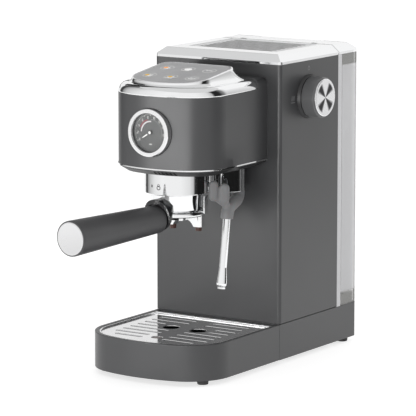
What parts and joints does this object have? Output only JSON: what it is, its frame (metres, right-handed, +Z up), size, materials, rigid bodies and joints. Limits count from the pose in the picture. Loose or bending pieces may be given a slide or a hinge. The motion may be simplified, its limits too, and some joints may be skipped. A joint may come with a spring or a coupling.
{
  "type": "espresso machine",
  "caption": "Slim home espresso machine with a bayonet portafilter, pressure gauge, swivelling steam wand, side steam knob, pull-out drip tray and lift-out rear water tank.",
  "frame": {"origin": "on the counter plane under the feet, below the middle of the tower's front face", "axes": "+X to the user's right, -Y towards the user, +Z up"},
  "size_m": [0.1696, 0.3892, 0.3131],
  "materials": {
    "graphite_paint": "satin graphite powder coat",
    "chrome_trim": "polished chrome plating",
    "stainless": "polished stainless sheet",
    "black_plastic": "fine-grained matt",
    "dark_plastic": "soft-touch satin",
    "grey_silicone": "matt silicone",
    "brown_silicone": "matt silicone",
    "seal_rubber": "matt",
    "panel_film": "satin printed film",
    "dial_face": "printed matt",
    "gauge_glass": "clear",
    "tank_plastic": "translucent smoke-grey",
    "cast_aluminium": "bead-blasted casting",
    "brass": "machined",
    "needle_paint": "satin white",
    "hose_silicone": "translucent hose",
    "board_green": "solder mask",
    "coil_wrap": "varnished winding"
  },
  "bodies": {
    "machine": {"base_chassis": "graphite_paint", "bottom_plate": "black_plastic", "feet": "seal_rubber", "casing_screws": "stainless", "tower_casing": "graphite_paint", "rear_bulkhead": "dark_plastic", "top_frame": "chrome_trim", "warming_plate": "stainless", "head_shell": "graphite_paint", "head_top_cover": "chrome_trim", "control_pod": "chrome_trim", "control_panel": "panel_film", "control_board": "board_green", "head_trim": "chrome_trim", "head_bottom_plate": "black_plastic", "group_collar": "chrome_trim", "brew_head": "cast_aluminium", "shower_screen": "stainless", "group_gasket": "seal_rubber", "thermostats": "brass", "gauge_case": "dark_plastic", "gauge_bezel": "chrome_trim", "gauge_dial": "dial_face", "gauge_lens": "gauge_glass", "steam_housing": "chrome_trim", "knob_ring": "dark_plastic", "steam_valve": "brass", "tank_socket": "black_plastic", "pump": "coil_wrap", "pump_mounts": "seal_rubber", "solenoid_valve": "brass", "power_board": "board_green", "water_hose": "hose_silicone", "pressure_hose": "hose_silicone", "steam_pipe": "stainless", "cord_gland": "black_plastic"},
    "needle": {"gauge_needle": "needle_paint"},
    "portafilter": {"portafilter_cup": "chrome_trim", "filter_basket": "stainless", "basket_spring": "stainless", "retainer_dish": "chrome_trim", "spout_body": "chrome_trim", "spout_tips": "brown_silicone", "handle_grip": "black_plastic", "handle_cap": "stainless", "handle_saddle": "black_plastic", "handle_bolt": "stainless"},
    "wand": {"wand_tube": "chrome_trim", "wand_grip": "grey_silicone"},
    "steam_knob": {"knob_body": "dark_plastic", "knob_face": "stainless", "valve_spindle": "brass"},
    "tray": {"tray_shell": "graphite_paint", "tray_basin": "black_plastic", "tray_rim": "chrome_trim"},
    "grate": {"grate": "stainless"},
    "float": {"tray_float": "brown_silicone"},
    "tank": {"tank_body": "tank_plastic", "tank_valve": "black_plastic"},
    "tank_lid": {"tank_lid": "chrome_trim"}
  },
  "joints": [
    {"name": "portafilter_turn", "type": "hinge", "parent": "machine", "child": "portafilter", "pos_m": [0, -0.073, 0.185], "axis": [0, 0, 1], "range_deg": [-45, 0]},
    {"name": "wand_swivel", "type": "hinge", "parent": "machine", "child": "wand", "pos_m": [0.028, -0.025, 0.18], "axis": [0, 0, 1], "range_deg": [0, 60]},
    {"name": "knob_turn", "type": "hinge", "parent": "machine", "child": "steam_knob", "pos_m": [0.08, 0.054, 0.267], "axis": [1, 0, 0], "range_deg": [0, 90]},
    {"name": "needle_swing", "type": "hinge", "parent": "machine", "child": "needle", "pos_m": [0, -0.119, 0.2446], "axis": [0, 1, 0], "range_deg": [0, 240], "stiffness_Nm_per_rad": 0.001, "springref_deg": -11.46},
    {"name": "tray_slide", "type": "slide", "parent": "machine", "child": "tray", "axis": [0, -1, 0], "range_m": [0, 0.16]},
    {"name": "grate_lift", "type": "slide", "parent": "tray", "child": "grate", "axis": [0, 0, 1], "range_m": [0, 0.03]},
    {"name": "float_rise", "type": "slide", "parent": "tray", "child": "float", "axis": [0, 0, 1], "range_m": [0, 0.009]},
    {"name": "tank_lift", "type": "slide", "parent": "machine", "child": "tank", "axis": [0, 0, 1], "range_m": [0, 0.28]},
    {"name": "lid_swing", "type": "hinge", "parent": "tank", "child": "tank_lid", "pos_m": [0, 0.1143, 0.3112], "axis": [1, 0, 0], "range_deg": [0, 100]}
  ]
}
